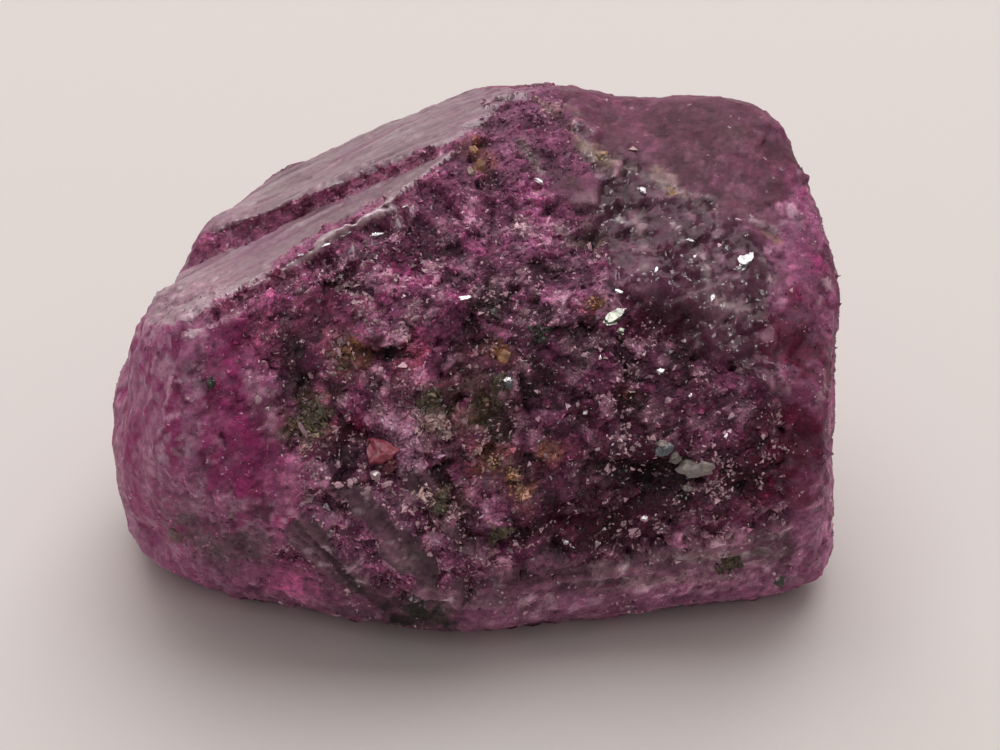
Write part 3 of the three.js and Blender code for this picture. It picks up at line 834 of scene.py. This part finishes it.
# Colour, middle, reach (millimetres) and how thickly the grains lie.
NESTS = [
    (MOSS, (-1.1, -4.9, 8.7), 0.30, 0.8), (CREAM, (-0.6, -5.4, 7.8), 0.28, 0.5),
    (CREAM, (0.4, -5.3, 7.7), 0.30, 0.5), (OCHRE, (1.0, -5.8, 6.7), 0.22, 0.7),
    (MOSS, (-0.6, -6.3, 6.3), 0.30, 0.7), (CREAM, (-1.4, -5.3, 8.1), 0.24, 0.5),
    (MOSS, (0.3, -4.3, 9.4), 0.26, 0.6), (HONEY, (0.7, -5.6, 7.1), 0.24, 0.6),
    (RUST, (0.8, -4.0, 10.0), 0.30, 1.0), (OCHRE, (0.9, -4.2, 9.7), 0.22, 0.8),
    (RUST, (0.0, -4.3, 9.6), 0.22, 0.8), (MOSS, (0.8, -4.6, 9.2), 0.28, 1.0),
    (GREEN_BLACK, (0.9, -4.5, 9.3), 0.2, 0.8), (MOSS, (0.4, -4.9, 8.6), 0.40, 1.0),
    (OCHRE, (-3.5, -4.2, 10.1), 0.25, 0.9), (MOSS, (-3.7, -4.4, 9.9), 0.30, 0.9),
    (GREEN_BLACK, (-5.0, -4.4, 10.1), 0.25, 0.8), (OCHRE, (3.6, -2.5, 10.7), 0.22, 1.0),
    (OCHRE, (2.3, -5.4, 7.2), 0.20, 1.0), (OCHRE, (2.0, -5.6, 6.9), 0.18, 1.0),
    (OCHRE, (1.4, -6.0, 6.3), 0.18, 0.9), (HONEY, (4.7, -4.3, 8.8), 0.16, 1.0),
    (CREAM, (0.1, -5.6, 7.4), 0.40, 0.36), (HONEY, (0.6, -5.7, 7.2), 0.30, 0.8),
    (MOSS, (1.0, -5.8, 6.9), 0.25, 0.9), (MOSS, (-1.1, -4.9, 8.8), 0.32, 1.0),
    (CREAM, (-1.0, -5.1, 8.4), 0.34, 0.36), (CREAM, (-0.9, -5.2, 8.1), 0.28, 0.36),
    (MOSS, (-4.7, -5.3, 8.6), 0.50, 0.7), (GREEN_BLACK, (0.5, -2.9, 11.2), 0.35, 0.8),
    (CREAM, (0.6, -3.1, 11.0), 0.26, 0.36), (GREEN_BLACK, (2.0, -3.6, 10.2), 0.30, 0.8),
    (CREAM, (-4.8, -5.7, 7.8), 0.26, 0.27), (CREAM, (-1.4, -6.4, 6.6), 0.33, 0.27),
    (CREAM * 0.8, (6.1, -5.8, 6.7), 0.45, 0.5), (MOSS, (-0.7, -6.5, 6.3), 0.32, 0.8),
    (CREAM, (-0.1, -6.9, 5.2), 0.33, 0.27), (CREAM, (3.2, -5.1, 8.1), 0.36, 0.36),
    (CREAM, (3.9, -6.1, 5.9), 0.30, 0.41), (CREAM, (4.8, -6.4, 4.9), 0.32, 0.36),
    (CREAM, (5.5, -4.2, 8.9), 0.33, 0.32), (MOSS, (0.8, -6.7, 5.0), 0.35, 0.8),
    (CREAM, (1.5, -6.0, 6.3), 0.23, 0.27), (MOSS, (7.7, -5.5, 2.9), 0.35, 0.5),
    (HONEY, (3.9, 2.4, 12.4), 0.16, 0.5), (CREAM, (4.9, 3.0, 12.3), 0.28, 0.16),
    (HONEY, (5.9, 1.3, 11.8), 0.20, 0.35), (HONEY, (2.6, 0.3, 12.0), 0.14, 0.7),
    (CREAM, (-6.9, -3.2, 11.0), 0.38, 0.16), (CREAM, (-5.9, -5.0, 9.4), 0.43, 0.16),
]
nest_density = np.zeros(len(moved))
nest_shades = np.zeros((len(moved), 3))
for colour, middle, reach, thickness in NESTS:
    share = thickness * spot(moved, middle, reach)
    nest_density += share
    nest_shades += share[:, None] * colour
nest_shades /= np.maximum(nest_density, 1e-9)[:, None]
strew("mineral_crumbs", ramp(nest_density, 0.05, 1.0), grain_material("mineral_crumb", 0.4, 0.0), count=3200,
      size_mm=0.115, pale=0.0, seed=15, sink=0.25, shades=nest_shades)

# ------------------------------------------------------------------------------
# The lodged lumps: single grains big enough to know one by one. Each is a ball cut by flat planes, half sunk
# in the break. The tan and white ones are feldspar, and the salmon one is paler ruby. The pink pillar is a
# heap of small grains of paler ruby.
# ------------------------------------------------------------------------------
FLAT_CUTS = 14
CUT_LOSS_MADE_UP = 1.15


def lump(place, size, turn, seed, colour):
    """One cut lump: place, size (across, up the slope, out) in millimetres, and its turn in degrees."""
    form = bmesh.new()
    bmesh.ops.create_icosphere(form, subdivisions=3, radius=0.5)
    points = np.array([v.co[:] for v in form.verts])
    faces = [[v.index for v in f.verts] for f in form.faces]
    form.free()
    chance = np.random.default_rng(seed)
    for cut in range(FLAT_CUTS):
        way = chance.normal(size=3)
        way /= np.linalg.norm(way)
        over = np.clip(points @ way - chance.uniform(0.27, 0.42), 0, None)
        points = points - over[:, None] * way
    points = points * (1 + 0.24 * clouds(points, 0.18, seed)[:, None]) * np.array(size) * CUT_LOSS_MADE_UP
    spin = math.radians(turn)
    across = points[:, 0] * math.cos(spin) - points[:, 1] * math.sin(spin)
    along = points[:, 0] * math.sin(spin) + points[:, 1] * math.cos(spin)
    nearest = np.argmin(np.linalg.norm(moved - np.array(place), axis=1))
    seat = moved[nearest] - 0.15 * size[2] * viewer
    points = seat + np.outer(across, (1, 0, 0)) + np.outer(along, up_slope) + np.outer(points[:, 2], viewer)
    shade = np.exp(0.40 * clouds(points, 0.20, seed + 50))[:, None]
    return points, faces, colour * shade


def set_joined(name, parts, material):
    """Joins parts, each of points, faces and one colour a point, in one piece."""
    starts = np.cumsum([0] + [len(points) for points, faces, colours in parts])
    all_faces = []
    for start, (points, faces, colours) in zip(starts, parts):
        all_faces += [[corner + int(start) for corner in face] for face in faces]
    points = np.concatenate([part[0] for part in parts])
    set_in_stone(name, points, all_faces, np.concatenate([part[2] for part in parts]), material)


STONE_WHITE = np.array([0.430, 0.365, 0.345])
SILVER_GREEN = np.array([0.620, 0.640, 0.560])

set_joined("feldspar_grains", [
    lump((6.45, -5.75, 6.8), (1.05, 0.62, 0.4), -6, 21, STONE_WHITE * 0.66),
    lump((5.9, -5.6, 7.0), (0.44, 0.36, 0.4), 50, 54, STONE_WHITE * 0.42),
    lump((6.85, -5.8, 6.9), (0.44, 0.40, 0.4), 20, 22, STONE_WHITE * 0.8),
    lump((6.2, -5.9, 6.5), (0.36, 0.22, 0.4), 5, 56, STONE_WHITE * 0.5),
    lump((5.5, -5.3, 7.5), (0.34, 0.30, 0.4), 20, 55, STONE_WHITE * 0.9),
    lump((0.1, 1.9, 13.0), (0.30, 0.45, 0.3), 15, 23, OCHRE),
    lump((0.3, 1.3, 12.9), (0.34, 0.50, 0.3), -20, 24, OCHRE * 0.7),
    lump((0.0, 1.0, 12.8), (0.24, 0.30, 0.3), 30, 29, TAN * 1.3),
    lump((-8.9, -4.9, 3.7), (0.55, 0.55, 0.25), 0, 25, np.array([0.26, 0.13, 0.15])),
    lump((0.9, -4.1, 9.8), (0.42, 0.45, 0.35), 20, 28, OCHRE * 0.9),
], grain_material("feldspar", 0.45, 0.15))

# Loose pebbles of pale ruby along the torn edges: place, length and width in millimetres, turn in degrees.
PEBBLES = [
    ((-4.0, -6.0, 7.4), (0.24, 0.22), 0), ((-3.4, -6.0, 7.3), (0.20, 0.22), 40),
    ((-3.9, -6.2, 7.1), (0.36, 0.24), 25), ((-3.5, -6.3, 7.0), (0.20, 0.34), 15),
    ((-3.1, -6.1, 7.2), (0.36, 0.26), -10), ((-3.1, -6.4, 6.7), (0.46, 0.20), 32),
    ((-4.8, -6.5, 6.4), (0.80, 0.20), 24), ((-2.5, -6.2, 6.9), (0.40, 0.15), 20),
    ((-2.4, -6.5, 6.4), (0.20, 0.20), 0), ((-4.9, -5.5, 8.3), (0.60, 0.16), -60),
    ((-0.1, -5.0, 8.3), (0.24, 0.18), 30), ((-2.0, -7.0, 5.0), (0.26, 0.20), 0),
    ((-2.1, -6.9, 5.3), (0.22, 0.16), 60), ((-1.3, -7.0, 4.7), (0.18, 0.18), 0),
    ((-1.6, -5.9, 7.1), (0.26, 0.20), 80), ((3.6, -5.3, 7.3), (0.20, 0.12), 20),
    ((4.9, -3.9, 9.1), (0.16, 0.22), 0), ((5.8, -4.4, 8.6), (0.22, 0.16), 50),
    ((5.5, -4.5, 8.5), (0.18, 0.14), 10), ((6.7, -5.8, 4.0), (0.22, 0.12), -20),
    ((4.4, -6.3, 5.2), (0.22, 0.16), 40), ((4.0, -6.2, 5.9), (0.18, 0.26), 0),
    ((9.2, -5.6, 4.8), (0.12, 0.24), 10), ((3.1, -4.6, 8.4), (0.18, 0.14), 70),
    ((4.9, -6.4, 5.0), (0.26, 0.20), -30), ((3.3, -3.9, 9.7), (0.24, 0.14), 20),
    ((-6.2, -5.2, 9.1), (0.24, 0.26), 0),
]
chance = np.random.default_rng(57)
pebbles = []
for seed, (place, (length, width), turn) in enumerate(PEBBLES):
    shade = PALE_PINK * np.array([1.0, 1.15, 1.05]) * chance.uniform(0.6, 1.15)
    pebbles.append(lump(place, (length, width, 0.6 * width), turn, 100 + seed, shade))
set_joined("pale_pebbles", pebbles, grain_material("pale_pebble", 0.35, 0.2))

set_joined("dark_grains", [
    lump((0.95, -4.6, 9.3), (0.38, 0.36, 0.3), 10, 31, np.array([0.10, 0.11, 0.12])),
    lump((9.3, -4.9, 1.9), (0.48, 0.52, 0.3), 0, 32, np.array([0.085, 0.085, 0.075])),
    lump((5.6, -5.4, 7.3), (0.6, 0.36, 0.3), 12, 33, np.array([0.12, 0.13, 0.15])),
    lump((-7.5, -4.8, 9.5), (0.25, 0.35, 0.2), 0, 34, GREEN_BLACK),
], grain_material("dark_mineral", 0.25, 0.0))

pillar_density = np.zeros(len(moved))
for middle in ((-1.75, -4.1, 10.1), (-1.8, -4.6, 9.4), (-1.95, -4.9, 8.9), (-2.1, -5.2, 8.4),
               (-2.0, -5.6, 7.9), (-1.9, -5.9, 7.4)):
    pillar_density += spot(moved, middle, 0.30)
strew("pink_pillar", ramp(pillar_density, 0.2, 0.9), grain_material("pink_ruby", 0.4, 0.2), count=800,
      size_mm=0.14, pale=0.0, seed=16)

set_joined("salmon_grain", [
    lump((-2.65, -5.7, 7.7), (1.05, 1.05, 0.8), 0, 48, SALMON),
    lump((-2.35, -5.95, 7.25), (0.50, 0.40, 0.4), 30, 49, SALMON * 0.35),
], grain_material("pale_ruby", 0.35, 0.25))

# ------------------------------------------------------------------------------
# The bright plates: a stack of mica leaves standing in the hollow under the brow, and cleavage planes of the
# ruby that flash white where they face the window.
# ------------------------------------------------------------------------------
LEAF_CORNERS = 11
LEAF_THICKNESS = 0.02
LEAF_GAP = 0.035
LEAF_TIP = 0.22


def leaves(place, size, turn, lean, count, seed):
    """A stack of count thin leaves with broken outlines. size is (along, across) in millimetres, turn the
    way its length points, and lean how far it tips back from the viewer to the window, in degrees."""
    chance = np.random.default_rng(seed)
    nearest = np.argmin(np.linalg.norm(moved - np.array(place), axis=1))
    spin, tip = math.radians(turn), math.radians(lean)
    out = math.cos(tip) * viewer + math.sin(tip) * up_slope
    along = math.cos(spin) * np.array([1, 0, 0]) + math.sin(spin) * up_slope
    along -= (along @ out) * out
    along /= np.linalg.norm(along)
    across = np.cross(out, along)
    points, faces = [], []
    for leaf in range(count):
        angles = np.sort(chance.uniform(0, 2 * math.pi, LEAF_CORNERS))
        reach = chance.uniform(0.55, 1.0, LEAF_CORNERS) * (1 - 0.08 * leaf)
        shift = chance.uniform(-0.06, 0.06, 2) * size[0]
        tip_along, tip_across = chance.uniform(-LEAF_TIP, LEAF_TIP, 2)
        height = 0.06 + LEAF_GAP * leaf
        for level in (height - LEAF_THICKNESS, height):
            edge_along = np.cos(angles) * reach * size[0] / 2 + shift[0]
            edge_across = np.sin(angles) * reach * size[1] / 2 + shift[1]
            rise = level + tip_along * edge_along + tip_across * edge_across
            outline = np.outer(edge_along, along) + np.outer(edge_across, across)
            points.append(moved[nearest] + outline + np.outer(rise, out))
        lower = [2 * LEAF_CORNERS * leaf + i for i in range(LEAF_CORNERS)]
        upper = [corner + LEAF_CORNERS for corner in lower]
        faces += [lower[::-1], upper]
        for i in range(LEAF_CORNERS):
            after = (i + 1) % LEAF_CORNERS
            faces.append([lower[i], lower[after], upper[after], upper[i]])
    points = np.concatenate(points)
    return points, faces, np.ones((len(points), 3))


def plate_material(name, colour, film):
    """Pearly plates. film is the thickness of the surface film in nanometres, which tints the glare."""
    material, shader = new_material(name)
    tree = material.node_tree
    where = add_node(tree, "TexCoord").outputs["Object"]
    cloud = add_node(tree, "TexNoise", where, Scale=6000, Detail=3).outputs["Fac"]
    shades = add_node(tree, "Mix", value_mix(tree, cloud, -0.6, 1.6), data_type="RGBA",
                      A=tuple(0.25 * colour) + (1,), B=tuple(colour) + (1,))
    feed(shader, Base_Color=shades.outputs["Result"], Roughness=value_mix(tree, cloud, 0.12, 0.4),
         Normal=bump(tree, cloud, 0.05, 0.8), IOR=1.6, Metallic=0.6, Thin_Film_Thickness=film,
         Thin_Film_IOR=1.4)
    return material


mica = plate_material("mica", SILVER_GREEN, 0)
set_joined("mica_plate", [leaves((4.1, -2.9, 10.35), (1.05, 0.46), 50, 30, 5, 61)], mica)
set_joined("mica_flake", [leaves((4.5, -3.3, 10.1), (0.40, 0.18), -25, 35, 3, 62)], mica)

# The near-white colour of these planes is partly a painted highlight: they stay pale even where they don't
# face the window.
bright_plane = plate_material("bright_plane", np.array([0.90, 0.86, 0.89]), 0)
rainbow_plane = plate_material("rainbow_plane", np.array([0.90, 0.90, 0.92]), 520)
set_joined("brow_glint", [leaves((7.9, -1.0, 10.6), (0.85, 0.42), 62, 38, 4, 64)], rainbow_plane)

# Small planes, each of two leaves: place, length and width in millimetres, turn and lean in degrees.
GLINTS = [
    ((0.8, -6.5, 2.5), (0.22, 0.09), 5, 36), ((2.6, -6.2, 2.8), (0.18, 0.09), 20, 36),
    ((4.6, -5.9, 2.7), (0.24, 0.08), 8, 36), ((6.8, -5.7, 3.3), (0.16, 0.10), 40, 36),
    ((9.2, -5.6, 4.8), (0.18, 0.08), 60, 36), ((-1.3, -6.8, 3.5), (0.20, 0.08), 10, 36),
    ((6.3, -4.4, 8.7), (0.20, 0.12), 60, 34), ((3.7, -3.6, 9.8), (0.22, 0.10), 80, 34),
    ((5.1, 1.3, 11.8), (0.42, 0.26), -48, 36), ((-0.2, -2.9, 11.3), (0.45, 0.16), 20, 34),
    ((2.0, 1.0, 12.4), (0.40, 0.11), -40, 38), ((6.3, -0.4, 11.1), (0.36, 0.12), -25, 38),
    ((7.0, -2.1, 10.4), (0.30, 0.16), 75, 33), ((-4.4, -3.2, 11.2), (0.22, 0.12), 60, 36),
    ((4.4, -2.4, 10.8), (0.34, 0.12), -10, 38), ((8.9, -3.9, 8.6), (0.20, 0.13), 10, 34),
    ((5.6, -3.9, 9.2), (0.30, 0.20), 40, 36), ((4.9, -6.4, 5.0), (0.26, 0.18), 15, 34),
    ((-2.9, -6.2, 7.1), (0.24, 0.15), 40, 36), ((1.0, -4.4, 9.4), (0.26, 0.20), 0, 36),
    ((3.4, -5.0, 8.3), (0.24, 0.16), 75, 36), ((7.4, -5.0, 7.5), (0.22, 0.12), 60, 36),
    ((-8.9, -5.0, 2.9), (0.15, 0.12), 0, 36), ((6.6, -0.9, 10.9), (0.2, 0.1), 50, 36),
    ((5.4, -1.5, 10.8), (0.3, 0.1), 80, 36), ((-5.6, -3.0, 11.0), (0.2, 0.1), 30, 36),
    ((-4.2, -1.4, 11.8), (0.34, 0.09), 30, 38), ((-2.8, -1.0, 12.2), (0.50, 0.13), 28, 38),
    ((-2.1, -0.4, 12.4), (0.30, 0.08), 30, 38), ((-5.0, -1.8, 11.6), (0.26, 0.07), 28, 38),
    ((-3.6, -1.1, 11.9), (0.44, 0.12), 26, 38), ((2.6, -6.7, 4.6), (0.22, 0.14), 10, 34),
]
glints = []
for seed, (place, size, turn, lean) in enumerate(GLINTS):
    glints.append(leaves(place, size, turn, lean, 2, 70 + seed))
set_joined("cleavage_glints", glints, bright_plane)
